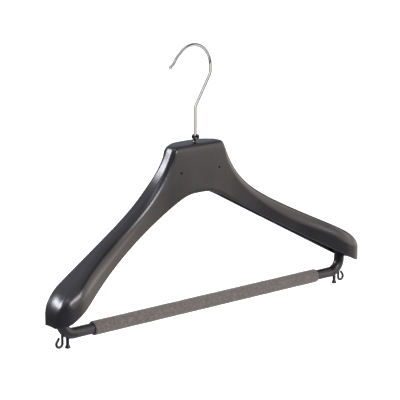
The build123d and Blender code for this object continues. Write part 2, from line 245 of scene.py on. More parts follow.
class StageSettings(PropertyGroup):
    """Camera, light and floor."""

    azimuth: angle("Azimuth", "Camera to the left of the front", -40.0)
    elevation: angle("Elevation", "Camera above the horizon", 12.86)
    camera: lengths("Camera", "Camera position", (-1.15408, -1.38320, 0.23736))
    lens: amount("Lens", "Focal length for a 36 mm sensor", 147.517, "CAMERA")
    floor: length("Floor", "Height of the floor", -0.95)
    room: amount("Room", "Brightness of the studio round the hanger", 1.5)
    key: amount("Key power", "Light at the front", 8.0, "POWER")
    rim: amount("Rim power", "Cool light behind the left arm", 460.0, "POWER")
    top: amount("Top power", "Long light over the left arm", 6.0, "POWER")
    side: amount("Side power", "Small warm light at the right", 3.0, "POWER")
    warm: amount("Warm power", "Wide warm wall of light at the right", 152.0, "POWER")
    card: amount("Card power", "White card at the left that the hook mirrors", 31.0, "POWER")
    low_card: amount("Low card power", "Card low at the right, for the hook", 11.5, "POWER")


def node(tree, kind, inputs=None, stops=(), **fields):
    """Adds a node with its fields and the stops of its ramp, and sets or links its inputs."""
    made = tree.nodes.new(kind)
    for name, value in fields.items():
        setattr(made, name, value)
    for _ in stops[2:]:
        made.color_ramp.elements.new(0.5)
    for number, (place, tone) in enumerate(stops):
        made.color_ramp.elements[number].position = place
        made.color_ramp.elements[number].color = tone
    for name, value in (inputs or {}).items():
        if isinstance(value, bpy.types.NodeSocket):
            tree.links.new(value, made.inputs[name])
        else:
            made.inputs[name].default_value = value
    return made


def new_material(name):
    """An empty material and its node tree."""
    material = bpy.data.materials.new(name)
    material.use_nodes = True
    material.node_tree.nodes.clear()
    return material, material.node_tree


def per_metre(size):
    """Scale of a pattern whose features are that many millimetres wide."""
    return 1000 / size


def satin_moulding(name, dark, light, rough, grain):
    """Injection-moulded plastic such as ABS, from a mould with a fine grain.

    It gives the eye an even, nearly black colour and soft highlights with a little life in them.
    """
    material, tree = new_material(name)
    place = node(tree, "ShaderNodeTexCoord").outputs["Object"]
    # Faint clouds, about 36 mm wide, where the melt flowed
    clouds = node(
        tree, "ShaderNodeTexNoise", {"Vector": place, "Scale": per_metre(35.714), "Detail": 3.0}
    ).outputs["Fac"]
    # The mould's grain of about 0.1 mm is too fine to show, so it is drawn 1.25 mm wide
    fine = node(
        tree, "ShaderNodeTexNoise", {"Vector": place, "Scale": per_metre(1.25), "Detail": 2.0}
    )
    # Shallow waves, about 11 mm wide, where thick plastic shrank
    waves = node(
        tree, "ShaderNodeTexNoise", {"Vector": place, "Scale": per_metre(11.111), "Detail": 1.0}
    )
    tone = node(tree, "ShaderNodeValToRGB", {"Fac": clouds}, stops=[(0.35, dark), (0.65, light)])
    gloss = node(tree, "ShaderNodeMapRange", {
        "Value": clouds, "From Min": 0.3, "From Max": 0.7,
        "To Min": rough * 0.9, "To Max": rough * 1.12,
    })
    relief = node(
        tree, "ShaderNodeMath", {0: fine.outputs["Fac"], 1: waves.outputs["Fac"]}, operation="ADD"
    )
    bump = node(
        tree, "ShaderNodeBump",
        {"Height": relief.outputs[0], "Strength": grain, "Distance": 0.00005},
    )
    shader = node(tree, "ShaderNodeBsdfPrincipled", {
        "Base Color": tone.outputs["Color"], "Roughness": gloss.outputs["Result"],
        "Normal": bump.outputs["Normal"], "IOR": 1.53,
    })
    node(tree, "ShaderNodeOutputMaterial", {"Surface": shader.outputs["BSDF"]})
    return material


def polished_chrome(colour):
    """Steel wire, drawn, polished and plated with chromium.

    It gives the eye hard bright and dark lines along the wire, from the cards and the room.
    """
    material, tree = new_material("polished chrome plate")
    place = node(tree, "ShaderNodeTexCoord").outputs["Object"]
    # Drawing marks of about 0.05 mm are too fine to show, so they are drawn 1.1 mm wide
    marks = node(
        tree, "ShaderNodeTexNoise", {"Vector": place, "Scale": per_metre(1.1111), "Detail": 2.0}
    )
    rough = node(tree, "ShaderNodeMapRange", {
        "Value": marks.outputs["Fac"], "From Min": 0.3, "From Max": 0.7,
        "To Min": 0.10, "To Max": 0.18,
    })
    shader = node(tree, "ShaderNodeBsdfPrincipled", {
        "Base Color": colour, "Roughness": rough.outputs["Result"], "Metallic": 1.0,
    })
    node(tree, "ShaderNodeOutputMaterial", {"Surface": shader.outputs["BSDF"]})
    return material


def closed_cell_foam(dark, middle, light):
    """Extruded foam rubber with a skin of burst cells.

    It gives the eye a warm grey without gloss, mottled like fine felt.
    """
    material, tree = new_material("closed-cell foam rubber")
    place = node(tree, "ShaderNodeTexCoord").outputs["Object"]
    # Patches of chalk and dust, about 2.4 mm wide
    mottle = node(tree, "ShaderNodeTexNoise", {
        "Vector": place, "Scale": per_metre(2.381), "Detail": 4.0, "Roughness": 0.7,
    }).outputs["Fac"]
    # Cells of about 0.3 mm are too fine to show, so they are drawn 0.8 mm wide
    cells = node(tree, "ShaderNodeTexVoronoi", {"Vector": place, "Scale": per_metre(0.76923)})
    tone = node(
        tree, "ShaderNodeValToRGB", {"Fac": mottle},
        stops=[(0.30, dark), (0.52, middle), (0.72, light)],
    )
    relief = node(
        tree, "ShaderNodeMath", {0: cells.outputs["Distance"], 1: mottle}, operation="ADD"
    )
    bump = node(
        tree, "ShaderNodeBump",
        {"Height": relief.outputs[0], "Strength": 0.55, "Distance": 0.00022},
    )
    shader = node(tree, "ShaderNodeBsdfPrincipled", {
        "Base Color": tone.outputs["Color"], "Normal": bump.outputs["Normal"],
        "Roughness": 0.92, "Sheen Weight": 0.15,
    })
    node(tree, "ShaderNodeOutputMaterial", {"Surface": shader.outputs["BSDF"]})
    return material


def drawn_rod_plastic(dark, light):
    """Extruded plastic, drawn through its die.

    It gives the eye a satin black-brown with fine streaks along the bar.
    """
    material, tree = new_material("drawn satin rod plastic")
    place = node(tree, "ShaderNodeTexCoord").outputs["Object"]
    # Die lines of about 0.2 mm are too fine to show, so they are drawn 1.1 mm wide, 56 mm long
    along = node(tree, "ShaderNodeMapping", {
        "Vector": place, "Scale": (per_metre(55.556), per_metre(1.1111), per_metre(1.1111)),
    })
    streaks = node(
        tree, "ShaderNodeTexNoise", {"Vector": along.outputs["Vector"], "Scale": 1.0, "Detail": 3.0}
    ).outputs["Fac"]
    tone = node(tree, "ShaderNodeValToRGB", {"Fac": streaks}, stops=[(0.35, dark), (0.65, light)])
    bump = node(
        tree, "ShaderNodeBump", {"Height": streaks, "Strength": 0.35, "Distance": 0.00006}
    )
    shader = node(tree, "ShaderNodeBsdfPrincipled", {
        "Base Color": tone.outputs["Color"], "Normal": bump.outputs["Normal"], "Roughness": 0.30,
    })
    node(tree, "ShaderNodeOutputMaterial", {"Surface": shader.outputs["BSDF"]})
    return material


def add_piece(name, points, faces, material, body, slot, *nodes, crease=40.0):
    """Makes a mesh object from arrays, closes its seams, parents it to its body and hides the parts
    it replaces.
    """
    mesh = bpy.data.meshes.new(name)
    mesh.from_pydata(np.reshape(points, (-1, 3)).tolist(), [], [list(face) for face in faces])
    work = bmesh.new()
    work.from_mesh(mesh)
    bmesh.ops.remove_doubles(work, verts=work.verts, dist=MERGE)
    bmesh.ops.dissolve_degenerate(work, dist=MERGE / 10, edges=work.edges)
    bmesh.ops.recalc_face_normals(work, faces=work.faces)
    if work.calc_volume(signed=True) < 0:
        bmesh.ops.reverse_faces(work, faces=work.faces)
    work.to_mesh(mesh)
    work.free()
    mesh.shade_smooth()
    mesh.set_sharp_from_angle(angle=radians(crease))
    mesh.materials.append(material)
    piece = bpy.data.objects.new(name, mesh)
    bpy.context.collection.objects.link(piece)
    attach(piece, body)
    if nodes:
        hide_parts(*nodes)
    return piece


def grid_faces(rows, columns, start=0, wrap=False):
    """Quads of a grid whose points are stored row by row."""
    row = np.arange(rows - 1)[:, None]
    column = np.arange(columns if wrap else columns - 1)[None, :]
    after = (column + 1) % columns
    low = start + row * columns
    high = low + columns
    quads = np.stack([low + column, low + after, high + after, high + column], -1)
    return quads.reshape(-1, 4).tolist()


def smooth(share):
    """Cubic step from nought to one."""
    held = np.clip(share, 0.0, 1.0)
    return held * held * (3 - 2 * held)


def near_end(x, end, run):
    """Cubic step that grows over that run before the end."""
    return smooth((x - end + run) / run)


def round_off(x, end, radius, inset=0.0):
    """Fall of a quarter circle that starts one radius before the end, moved in by inset."""
    reach = radius - inset
    held = np.clip(x - end + radius, 0.0, reach)
    return reach - np.sqrt(reach**2 - held**2)


def soft_start(past, soft):
    """Nought, then a straight line: soft times the logarithm of one plus an exponential."""
    return soft * np.logaddexp(0, past / soft)


def neck_run(shell, x):
    """Distance past the head's side, with a soft start."""
    return soft_start(x - shell.head_half, shell.neck_soft)


def shoulder(shell, x):
    """Top line: level on the head, then an exponential flare plus a straight slope."""
    run = neck_run(shell, x)
    flare = shell.flare_height * (1 - np.exp(-run / shell.flare_length))
    return shell.head_top - tan(shell.shoulder_slope) * run - flare


def steepness(shell, x):
    """Length of the top line per unit of x, from its slope."""
    flare = shell.flare_height / shell.flare_length * np.exp(-neck_run(shell, x) / shell.flare_length)
    started = 1 / (1 + np.exp((shell.head_half - x) / shell.neck_soft))
    return np.hypot(1, started * (tan(shell.shoulder_slope) + flare))


def arch(shell, x):
    """Lower edge: a superellipse-like arch, level under the head and flatter at the end."""
    end = shell.half_width
    saved = shell.level_share * soft_start(x - end + shell.level_inset, shell.level_soft)
    drop = tan(shell.arch_slope) * np.maximum(x - saved, 0)
    power = shell.arch_power
    curve = (drop**power + shell.arch_soft**power) ** (1 / power)
    lift = shell.end_lift * near_end(x, end, shell.end_lift_run)
    corner = round_off(x, end, shell.end_corner)
    return shell.head_top - shell.arch_depth + shell.arch_soft - curve + lift + corner


def front_line(shell, x):
    """Front in plan: a power law that levels off."""
    run = shell.half_width - shell.sweep_inset - shell.sweep_start
    share = np.clip(x - shell.sweep_start, 0, None) / run
    limit = (1 + share ** (shell.sweep_power * shell.sweep_sharp)) ** (1 / shell.sweep_sharp)
    return -shell.front - shell.sweep_reach * share**shell.sweep_power / limit


def back_line(shell, x):
    """Back in plan: a parabola behind the head, then a straight lean with a soft start."""
    bulge = shell.bulge * np.clip(1 - (x / shell.head_half) ** 2, 0, None)
    lean = tan(shell.lean) * soft_start(x - shell.lean_start, shell.lean_soft)
    return shell.back + bulge - lean


def faded(shell, x, radius, at_end):
    """Leads an edge radius over to its value at the arm's end."""
    return radius + (at_end - radius) * near_end(x, shell.half_width, shell.edge_fade)


def front_edge(shell, x):
    """Front edge radius: small on the head, wide on the shoulder."""
    at_head, on_arm, at_end = shell.front_edges
    grown = at_head + (on_arm - at_head) * smooth((x - shell.head_half) / shell.front_growth)
    return faded(shell, x, grown, at_end)


def back_edge(shell, x):
    """Back edge radius: crisp behind the hook, wide at the head's side, crisp along the arm."""
    middle, at_side, on_arm = shell.back_edges
    grown = middle + (at_side - middle) * smooth((2 * x - shell.head_half) / shell.head_half)
    grown = grown + (on_arm - grown) * smooth((x - shell.head_half) / shell.back_growth)
    return faded(shell, x, grown, on_arm)


def arm_sections(shell, x, inset, wall_steps=14, arc_steps=14, top_steps=11):
    """Sections of the shell at each |x|: front wall, elliptical corner, top, corner, back wall.

    The section is moved inwards by inset. The end is rounded by quarter circles, in plan and at
    its crown, and the top domes across there as a parabola. Returns an array of stations by
    points by three, and x keeps its sign.
    """
    far, end = np.abs(x)[:, None], shell.half_width
    steep = steepness(shell, far)
    front = front_line(shell, far) + inset + round_off(far, end, shell.front_plan, inset)
    back = back_line(shell, far) - inset - round_off(far, end, shell.back_plan, inset)
    domed = shell.dome * near_end(far, end, shell.dome_run)
    top = shoulder(shell, far) - inset * steep - round_off(far, end, shell.crown, inset)
    top = top - shell.dome_sink * domed
    foot = arch(shell, far)
    front_radius = front_edge(shell, far) - inset
    back_radius = back_edge(shell, far) - inset
    front_rise, back_rise = front_radius * steep, back_radius * steep
    up = np.linspace(0, 1, wall_steps)[:-1]
    turn = np.linspace(0, pi / 2, arc_steps)[:-1]
    over = np.linspace(0, 1, top_steps)
    y = np.concatenate([
        front + 0 * up,
        front + front_radius * (1 - np.cos(turn)),
        front + front_radius + (back - back_radius - front - front_radius) * over,
        back - back_radius * (1 - np.cos(turn[::-1])),
        back + 0 * up,
    ], 1)
    z = np.concatenate([
        foot + (top - front_rise - foot) * up,
        top - front_rise + front_rise * np.sin(turn),
        top + domed * 4 * over * (1 - over),
        top - back_rise + back_rise * np.sin(turn[::-1]),
        foot + (top - back_rise - foot) * up[::-1],
    ], 1)
    return np.stack([np.broadcast_to(x[:, None], y.shape), y, z], -1)


def arm_stations(shell, inset):
    """Signed stations from end to end, closer together at the neck and at the ends."""
    head = np.linspace(0, shell.head_half - 3 * shell.neck_soft, 16)
    neck = np.linspace(head[-1], shell.head_half + 2.5 * shell.flare_length, 56)[1:]
    arm = np.linspace(neck[-1], shell.half_width - shell.crown, shell.stations)[1:]
    end = arm[-1] + (shell.crown - inset) * np.sin(np.linspace(0, pi / 2, 30))[1:]
    half = np.concatenate([head, neck, arm, end])
    return np.concatenate([-half[::-1], half[1:]])


def cap_rows(section, steps=9):
    """Points across an end section, from its front half to its mirrored back half."""
    middle = len(section) // 2
    share = np.linspace(0, 1, steps)[None, :, None]
    return section[:middle + 1, None] * (1 - share) + section[::-1][:middle + 1, None] * share


def rim_rows(outer, inner, lip):
    """Half round from the outer to the inner edge: a sine down and a cosine across."""
    turn = np.linspace(0, pi, 7)
    down = (np.sin(turn) * lip)[None, :, None] * np.array([0, 0, -1])
    across = ((1 - np.cos(turn)) / 2)[None, :, None]
    return outer[:, None] * (1 - across) + inner[:, None] * across + down


def drill(piece, holes):
    """Cuts round holes of (place, axis, radius, length) and keeps the finished mesh."""
    cutters = []
    for place, axis, radius, depth in holes:
        work = bmesh.new()
        turn = Vector((0, 0, 1)).rotation_difference(Vector(axis)).to_matrix().to_4x4()
        bmesh.ops.create_cone(
            work, cap_ends=True, segments=40, radius1=radius, radius2=radius, depth=depth,
            matrix=Matrix.Translation(place) @ turn,
        )
        mesh = bpy.data.meshes.new("cutter")
        work.to_mesh(mesh)
        work.free()
        cutter = bpy.data.objects.new("cutter", mesh)
        bpy.context.collection.objects.link(cutter)
        cutters.append(cutter)
        modifier = piece.modifiers.new("hole", "BOOLEAN")
        modifier.object = cutter
        modifier.operation = "DIFFERENCE"
        modifier.solver = "EXACT"
    graph = bpy.context.evaluated_depsgraph_get()
    cut = bpy.data.meshes.new_from_object(piece.evaluated_get(graph))
    if not cut.polygons:
        raise RuntimeError("drilling left nothing of " + piece.name)
    piece.modifiers.clear()
    piece.data = cut
    for cutter in cutters:
        bpy.data.objects.remove(cutter)


class HANGER_OT_shell(Operator):
    """Add the smooth shoulders: outer and inner skin from section formulas, with a rounded rim"""

    bl_idname = "hanger.shell"
    bl_label = "Add shell"

    def execute(self, context):
        shell, look = context.scene.hanger_shell, context.scene.hanger_finish
        material = satin_moulding(
            "satin moulded shell plastic", look.shell_dark, look.shell_light, 0.25, 0.004
        )
        outer = arm_sections(shell, arm_stations(shell, 0.0), 0.0)
        inner = arm_sections(shell, arm_stations(shell, shell.wall), shell.wall)
        outer_caps = [cap_rows(outer[end]) for end in (0, -1)]
        inner_caps = [cap_rows(inner[end]) for end in (0, -1)]
        edges = [(outer[:, 0], inner[:, 0]), (outer[:, -1], inner[:, -1])]
        edges += [(out[0], within[0]) for out, within in zip(outer_caps, inner_caps)]
        grids = [outer, inner] + outer_caps + inner_caps
        grids += [rim_rows(out, within, shell.lip) for out, within in edges]
        points, faces, count = [], [], 0
        for grid in grids:
            rows, columns = grid.shape[:2]
            points.append(grid.reshape(-1, 3))
            faces += grid_faces(rows, columns, count)
            count += rows * columns
        skin = add_piece(
            "shell_skin", np.concatenate(points), faces, material, "hanger", "shell", "hanger_shell"
        )
        # Each cutter's length is centred on the skin, so half of it goes through the wall
        holes = [((0, 0, shell.head_top), (0, 0, 1), shell.boss_hole, 0.012)]
        for side, _ in SIDES:
            across = side * shell.hole_spacing / 2
            place = (across, -shell.front, shell.head_top - shell.hole_drop)
            holes.append((place, (0, 1, 0), shell.hole, 0.006))
        drill(skin, holes)
        return {"FINISHED"}


def solid_between(outline_a, outline_b):
    """Points and faces of a plate between two matching outlines."""
    count = len(outline_a)
    faces = [list(range(count)), list(range(count, 2 * count))]
    faces += [[i, (i + 1) % count, count + (i + 1) % count, count + i] for i in range(count)]
    return np.concatenate([outline_a, outline_b]), faces


def lathe(profile, centre, steps, closed=False):
    """Turns (radius, height) pairs about a vertical axis through centre."""
    profile = np.asarray(profile, float)
    if closed:
        profile = np.concatenate([profile, profile[:1]])
    turn = np.linspace(0, 2 * pi, steps, endpoint=False)
    radius, height = profile[:, :1], profile[:, 1:]
    rows = np.stack([
        centre[0] + radius * np.cos(turn), centre[1] + radius * np.sin(turn),
        centre[2] + height + 0 * turn,
    ], -1)
    return rows.reshape(-1, 3), grid_faces(len(rows), steps, wrap=True)


class HANGER_OT_inside(Operator):
    """Add what shows inside the open underside: ribs, hook boss and post sockets"""

    bl_idname = "hanger.inside"
    bl_label = "Add ribs and sockets"

    def execute(self, context):
        scene = context.scene
        shell, bar, look = scene.hanger_shell, scene.hanger_bar, scene.hanger_finish
        material = satin_moulding(
            "satin moulded rib plastic", look.rib_dark, look.rib_light, 0.42, 0.10
        )
        sunk = shell.wall * 0.6  # how deep ribs and boss reach into the wall, to join it
        bore = bar.post + 5e-5  # a sliding fit for the post
        for side, word in SIDES:
            for number, share in enumerate((0.30, 0.46, 0.62, 0.78), 1):
                place = shell.half_width * share
                pair = []
                for x in (place, place + shell.rib):
                    section = arm_sections(shell, np.array([side * x]), sunk)[0]
                    low = arch(shell, np.array([x]))[0] + shell.rib_recess
                    section[:, 2] = np.maximum(section[:, 2], low)
                    pair.append(section)
                points, faces = solid_between(*pair)
                name = "rib_%s_%d" % (word, number)
                add_piece(name, points, faces, material, "hanger", "shell", "hanger_shell")
            mouth = arch(shell, np.array([bar.post_x]))[0] + shell.socket_inset
            tube = [
                (bore, mouth), (shell.socket, mouth),
                (shell.socket, bar.post_top), (bore, bar.post_top),
            ]
            points, faces = lathe(tube, (side * bar.post_x, bar.y, 0), 40, closed=True)
            name = "socket_" + word
            add_piece(name, points, faces, material, "hanger", "shell", "hanger_shell")
        top, floor = shell.head_top - sunk, shell.head_top - shell.boss_length
        tube = [
            (shell.boss_hole, floor), (shell.boss, floor), (shell.boss, top), (shell.boss_hole, top)
        ]
        points, faces = lathe(tube, (0, 0, 0), 40, closed=True)
        add_piece("hook_boss", points, faces, material, "hanger", "shell", "hanger_shell")
        return {"FINISHED"}


def planar_tube(path, across, radius, steps=24, round_end=False):
    """Tube of changing radius along a path that lies in one plane with normal across."""
    radius = np.broadcast_to(np.asarray(radius, float), len(path))
    tangent = np.gradient(path, axis=0)
    tangent /= np.linalg.norm(tangent, axis=1)[:, None]
    if round_end:
        bend = np.linspace(0, pi / 2, 9)[1:]
        extra = path[-1] + tangent[-1] * radius[-1] * np.sin(bend)[:, None]
        small = radius[-1] * np.maximum(np.cos(bend), 1e-3)
        path = np.concatenate([path, extra])
        radius = np.concatenate([radius, small])
        tangent = np.concatenate([tangent, np.repeat(tangent[-1:], len(bend), 0)])
    side = np.cross(tangent, across)
    turn = np.linspace(0, 2 * pi, steps, endpoint=False)[None, :, None]
    ring = path[:, None] + radius[:, None, None] * (
        np.cos(turn) * side[:, None] + np.sin(turn) * np.asarray(across, float)
    )
    faces = grid_faces(len(path), steps, wrap=True)
    last = (len(path) - 1) * steps
    faces += [list(range(steps)), list(range(last, last + steps))]
    return ring.reshape(-1, 3), faces


def arc_points(centre, radius, start, end, steps, y=0.0):
    """Points of an arc in an XZ plane, from start to end in radians."""
    turn = np.linspace(start, end, steps)
    x = centre[0] + radius * np.cos(turn)
    return np.column_stack([x, np.full(steps, y), centre[1] + radius * np.sin(turn)])


def hook_path(hook):
    """Centre line of the hook: stem, bend, lean, bend, side, arc and tip, joined tangentially.

    The arc's inside touches the origin, and the tip bows as a sine with a growing reach.
    """
    inside = hook.arc - hook.wire
    cx, cz = -hook.offset, -(inside**2 - hook.offset**2) ** 0.5
    side_x, side_z = cx + hook.arc, cz - hook.side_drop
    low_x = side_x - hook.lower_bend * (1 - cos(hook.lean))
    low_z = side_z - hook.lower_bend * sin(hook.lean)
    corner = low_z - low_x / tan(hook.lean)
    start = corner - hook.stem_bend * tan(hook.lean / 2)
    stem = np.linspace((0, 0, hook.foot_top), (0, 0, start), 30)
    first = arc_points((hook.stem_bend, start), hook.stem_bend, pi, pi - hook.lean, 12)
    slant = np.linspace(first[-1], (low_x, 0, low_z), 16)
    second = arc_points((side_x - hook.lower_bend, side_z), hook.lower_bend, -hook.lean, 0, 12)
    side = np.linspace((side_x, 0, side_z), (side_x, 0, cz), 6)
    arc = arc_points((cx, cz), hook.arc, 0, hook.arc_end, 60)
    way = np.array([-sin(hook.arc_end), 0, cos(hook.arc_end)])
    inward = np.array([way[2], 0, -way[0]])
    share = np.linspace(0, 1, 24)[:, None]
    bow = hook.tip_bow * share * np.sin(2 * pi * share)
    tip = arc[-1] + way * hook.tip * share + inward * bow
    return np.concatenate([stem, first[1:], slant[1:], second[1:], side[1:], arc[1:], tip[1:]])


class HANGER_OT_hook(Operator):
    """Add the chromed swivel hook with its upset foot, and give the washer its finish"""

    bl_idname = "hanger.hook"
    bl_label = "Add hook"

    def execute(self, context):
        hook, look = context.scene.hanger_hook, context.scene.hanger_finish
        chrome = polished_chrome(look.chrome)
        points, faces = planar_tube(hook_path(hook), (0, 1, 0), hook.wire, 32, round_end=True)
        add_piece("hook_wire", points, faces, chrome, "hook", "hook", "swivel_hook")
        top, edge = hook.foot_top, hook.foot_edge
        low = top - hook.foot_height
        profile = [
            (POLE, top), (hook.foot - edge, top), (hook.foot, top - edge),
            (hook.foot, low + edge), (hook.foot - edge, low), (POLE, low),
        ]
        points, faces = lathe(profile, (0, 0, 0), 40)
        add_piece("hook_foot", points, faces, chrome, "hook", "hook", "swivel_hook")
        # The washer is hidden in the head, so its dull grey skin is made as the satin ones are
        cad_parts["hook_washer"].data.materials[0] = satin_moulding(
            "plain steel washer", look.washer_dark, look.washer_light, 0.35, 0.1
        )
        return {"FINISHED"}


class HANGER_OT_collar(Operator):
    """Add the black split collar: a flared foot, a slit waist and two round beads"""

    bl_idname = "hanger.collar"
    bl_label = "Add collar"

    def execute(self, context):
        scene = context.scene
        hook, shell, look = scene.hanger_hook, scene.hanger_shell, scene.hanger_finish
        finish = satin_moulding(
            "glossy black collar plastic", look.collar_dark, look.collar_light, 0.20, 0.05
        )
        bore, spigot, flange, waist = hook.collar_bore, hook.spigot, hook.flange, hook.waist
        shelf = -shell.boss_length
        low = shelf - hook.snap_height
        # Radius and height above the head: snap rim, spigot, flange, its slope, waist and inside
        profile = [
            (bore, low), (spigot, low), (hook.snap, low + hook.snap_height / 2),
            (hook.snap, shelf), (spigot, shelf), (spigot, 0.0), (flange, 0.0), (flange, 0.0006),
            (flange * 0.95, 0.0011), (waist * 1.12, 0.0018), (waist, 0.0030),
            (waist, hook.collar_height - 1.6 * hook.bead),
            (bore, hook.collar_height - 1.2 * hook.bead),
        ]
        points, faces = lathe(profile, (0, 0, shell.head_top), 96, closed=True)
        # Four slits: bell curves around the waist that start above the flange and spare the bore
        slit_width, slit_depth, slit_start = 0.22, 0.14, 0.001
        turn = np.arctan2(points[:, 1], points[:, 0])
        above = smooth((points[:, 2] - shell.head_top - slit_start) / slit_start)
        slit = np.exp(-((np.cos(2 * turn) / slit_width) ** 2)) * above
        outside = np.hypot(points[:, 0], points[:, 1]) > bore * 1.01
        points[:, :2] *= 1 - slit_depth * slit[:, None] * outside[:, None]
        add_piece("collar_body", points, faces, finish, "hanger", "collar", "hook_collar")
        around, levels = 40, 28
        rise = np.linspace(-pi / 2 + 1e-3, pi / 2 - 1e-3, levels)
        ball = np.column_stack([hook.bead * np.cos(rise), hook.bead_rise * np.sin(rise)])
        centre_z = shell.head_top + hook.collar_height - hook.bead_rise
        for number, way in enumerate((0.75 * pi, -0.25 * pi), 1):
            spot = (hook.bead_place * cos(way), hook.bead_place * sin(way), centre_z)
            points, faces = lathe(ball, spot, around)
            last = (levels - 1) * around
            faces += [list(range(around)), list(range(last, last + around))]
            # Points that would stand in the wire move out to the bore
            out = np.hypot(points[:, 0], points[:, 1])
            points[:, :2] *= (np.maximum(out, bore) / np.maximum(out, MERGE))[:, None]
            name = "collar_bead_%d" % number
            add_piece(name, points, faces, finish, "hanger", "collar", "hook_collar")
        return {"FINISHED"}


class HANGER_OT_bar(Operator):
    """Add the fluted rod, its foam sleeve and both elbows with their loop hooks and studs"""

    bl_idname = "hanger.bar"
    bl_label = "Add bar"

    def execute(self, context):
        scene = context.scene
        bar, look = scene.hanger_bar, scene.hanger_finish
        self.rod(bar, drawn_rod_plastic(look.rod_dark, look.rod_light))
        finish = satin_moulding(
            "satin moulded elbow plastic", look.elbow_dark, look.elbow_light, 0.42, 0.25
        )
        self.sleeve(bar, closed_cell_foam(look.foam_dark, look.foam_middle, look.foam_light))
        socket_edge = arch(scene.hanger_shell, np.array([bar.post_x]))[0]
        for side, word in SIDES:
            self.elbow(bar, socket_edge, side, word, finish)
        return {"FINISHED"}

    def rod(self, bar, finish):
        """Rod whose radius dips by the fourth power of a cosine at each flute."""
        steps = 240
        turn = np.linspace(0, 2 * pi, steps, endpoint=False)
        radius = bar.rod - bar.flute * np.maximum(np.cos(bar.flutes * turn), 0) ** 4
        # Place along the bar and share of the radius: the ends are stepped in, and then closed
        ends = np.array([
            (-bar.rod_half, 0.9), (-bar.rod_half, 1.0), (bar.rod_half, 1.0), (bar.rod_half, 0.9)
        ])
        x, share = ends[:, :1], ends[:, 1:]
        points = np.stack([
            x + 0 * turn, bar.y + share * radius * np.cos(turn),
            bar.z + share * radius * np.sin(turn),
        ], -1)
        faces = grid_faces(len(ends), steps, wrap=True)
        faces += [list(range(steps)), list(range(3 * steps, 4 * steps))]
        add_piece("fluted_rod", points, faces, finish, "hanger", "rod", "bar_rod")

    def sleeve(self, bar, finish):
        """Foam tube whose skin swells and sinks by smooth sums of sines, with rounded ends."""
        steps, rings = 72, 420
        wave, room, calm = 0.00003, 0.00012, 0.004  # a wave's height, its room, calm at the ends
        turn = np.linspace(0, 2 * pi, steps, endpoint=False)[None, :]
        x = np.linspace(-bar.sleeve_half, bar.sleeve_half, rings)[:, None]
        # Waves of 10 to 76 mm along the sleeve, with up to five lobes around it
        swell = (
            np.sin(210 * x + 2 * turn) + np.sin(137 * x - 3 * turn + 1.3)
            + np.sin(391 * x + turn + 0.4) + np.sin(83 * x + 2.1)
            + 0.6 * np.sin(640 * x + 5 * turn)
        )
        calmed = smooth((bar.sleeve_half - np.abs(x)) / calm)
        radius = bar.sleeve - room + wave * swell * calmed
        radius = radius - round_off(np.abs(x), bar.sleeve_half, bar.sleeve_edge)
        ends = np.array([[bar.sleeve_half], [-bar.sleeve_half]])
        x = np.concatenate([x, ends, x[:1]])
        bore = np.full((2, steps), bar.sleeve_bore)
        radius = np.concatenate([radius, bore, radius[:1]])
        skin = np.stack([
            x + 0 * turn, bar.y + radius * np.cos(turn), bar.z + radius * np.sin(turn)
        ], -1)
        piece = add_piece(
            "foam_sleeve_skin", skin, grid_faces(len(skin), steps, wrap=True), finish,
            "hanger", "sleeve", "foam_sleeve", crease=50.0,
        )

    def elbow(self, bar, socket_edge, side, word, finish):
        """Swept post and bend, with the loop hook and the stud grown out of its underside."""
        slot = ("hanger", "elbow", word + "_elbow")
        mirror = (side, 1, 1)
        bend_z = bar.z + bar.bend
        post = np.linspace((bar.post_x, bar.y, bar.post_top), (bar.post_x, bar.y, bend_z), 10)
        arc = arc_points((bar.post_x - bar.bend, bend_z), bar.bend, 0, -pi / 2, 28, bar.y)
        path = np.concatenate([post, arc[1:], [(bar.rod_half, bar.y, bar.z)]]) * mirror
        swell_start, swell_run = 0.004, 0.008  # above the shell's edge, and down from there
        below = smooth((socket_edge + swell_start - path[:, 2]) / swell_run)
        points, faces = planar_tube(path, (0, 1, 0), bar.post + bar.swell * below, 48)
        add_piece(word + "_elbow_tube", points, faces, finish, *slot)
        hook_x, hook_z = bar.post_x - bar.loop_inset, bar.z - bar.loop_drop
        stem = np.linspace((hook_x, bar.y, bar.z + bar.post), (hook_x, bar.y, hook_z), 14)
        centre = (hook_x + bar.loop_radius, hook_z)
        curl = arc_points(centre, bar.loop_radius, pi, 2 * pi + bar.loop_lean, 26, bar.y)
        way = np.array([-sin(bar.loop_lean), 0, cos(bar.loop_lean)])
        tip = curl[-1] + way * np.linspace(0, bar.loop_tip, 6)[:, None]
        path = np.concatenate([stem, curl[1:], tip[1:]]) * mirror
        points, faces = planar_tube(path, (0, 1, 0), bar.loop_wire, 20, round_end=True)
        add_piece(word + "_loop_hook", points, faces, finish, *slot)
        low, foot = bar.z - bar.stud_drop, bar.stud_foot
        # Radius and height: the foot's rounded disc, its slope, and the stem up into the elbow
        profile = [
            (POLE, low), (foot * 0.7, low), (foot * 0.94, low + 0.0002), (foot, low + 0.0007),
            (foot * 0.9, low + 0.0012), (bar.stud * 1.5, low + 0.0024),
            (bar.stud, low + bar.stud_height + 0.0006), (bar.stud, bar.z), (POLE, bar.z),
        ]
        points, faces = lathe(profile, (side * (bar.post_x - bar.stud_inset), bar.y, 0), 36)
        add_piece(word + "_loop_stud", points, faces, finish, *slot)


def direction(azimuth, elevation):
    """Unit vector towards an azimuth and an elevation; azimuth nought is the front."""
    level = cos(elevation)
    return Vector((sin(azimuth) * level, -cos(azimuth) * level, sin(elevation)))


